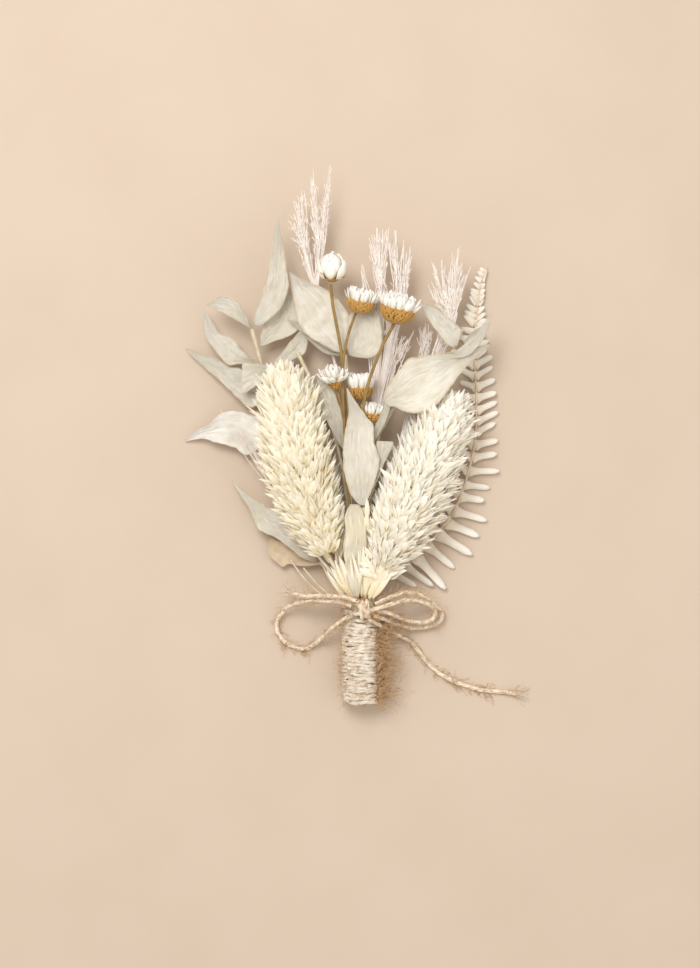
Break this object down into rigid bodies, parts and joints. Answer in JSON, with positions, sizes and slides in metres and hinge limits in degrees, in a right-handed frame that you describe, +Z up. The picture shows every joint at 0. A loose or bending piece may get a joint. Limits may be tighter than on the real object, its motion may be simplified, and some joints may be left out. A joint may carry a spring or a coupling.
{
  "type": "dried flower boutonniere",
  "caption": "Buttonhole spray of bleached dried leaves, canary grass, papery daisies and a pressed fern, bound with a twine wrap and bow.",
  "frame": {"origin": "middle of the underside of the bunch without its free twine, on the surface it lies on", "axes": "+Y along the bunch from the cut stem ends to the flower tips, +Z up from the surface it lies on, +X across the bunch"},
  "size_m": [0.0884, 0.1424, 0.0211],
  "materials": {
    "bleached_leaf": "dry papery leaf, bleached ivory, matt",
    "tan_leaf": "dry papery leaf, tan back, matt",
    "straw_stem": "dry straw stem, matt",
    "seed_head": "dry papery grass bracts, cream, matt",
    "golden_brown_cup": "dry golden brown sepals and stem, satin",
    "papery_bract": "papery white bracts, soft sheen",
    "jute_twine": "hairy natural jute twine, matt"
  },
  "bodies": {
    "root": {"bow_band": "jute_twine", "bow_knot": "jute_twine", "bow_loop_left": "jute_twine", "bow_loop_right_inner": "jute_twine", "bow_loop_right_outer": "jute_twine", "brush_a_tuft": "seed_head", "brush_b_tuft": "seed_head", "brush_c_tuft": "seed_head", "brush_d_tuft": "seed_head", "canary_left_head": "seed_head", "canary_left_stem": "straw_stem", "canary_right_head": "seed_head", "canary_right_stem": "straw_stem", "centre_leaf_back_blade": "bleached_leaf", "centre_leaf_blade": "bleached_leaf", "centre_leaf_stem": "straw_stem", "curled_leaf_blade": "bleached_leaf", "curled_leaf_stem": "straw_stem", "daisy_1_bracts": "papery_bract", "daisy_1_cup": "golden_brown_cup", "daisy_2_bracts": "papery_bract", "daisy_2_cup": "golden_brown_cup", "daisy_3_bracts": "papery_bract", "daisy_3_cup": "golden_brown_cup", "daisy_4_bracts": "papery_bract", "daisy_4_cup": "golden_brown_cup", "daisy_5_bracts": "papery_bract", "daisy_5_cup": "golden_brown_cup", "daisy_6_bracts": "papery_bract", "daisy_6_cup": "golden_brown_cup", "daisy_a_stem": "golden_brown_cup", "daisy_b_stem": "golden_brown_cup", "fern_frond": "bleached_leaf", "low_leaf_blade": "bleached_leaf", "low_leaf_stem": "straw_stem", "low_leaf_under_blade": "tan_leaf", "ruscus_a_leaf_1": "bleached_leaf", "ruscus_a_leaf_2": "bleached_leaf", "ruscus_a_leaf_3": "bleached_leaf", "ruscus_a_leaf_4": "bleached_leaf", "ruscus_a_leaf_5": "bleached_leaf", "ruscus_a_leaf_6": "bleached_leaf", "ruscus_a_stem": "straw_stem", "ruscus_b_leaf_1": "bleached_leaf", "ruscus_b_leaf_2": "bleached_leaf", "ruscus_b_stem": "straw_stem", "ruscus_c_leaf_1": "bleached_leaf", "ruscus_c_leaf_2": "bleached_leaf", "ruscus_c_leaf_3": "bleached_leaf", "ruscus_c_stem": "straw_stem", "ruscus_d_leaf_1": "bleached_leaf", "ruscus_d_leaf_2": "bleached_leaf", "ruscus_d_leaf_3": "bleached_leaf", "ruscus_d_stem": "straw_stem", "sheath_leaf": "bleached_leaf", "twine_end_left": "jute_twine", "twine_tail": "jute_twine", "twine_wrap": "jute_twine"}
  },
  "joints": []
}
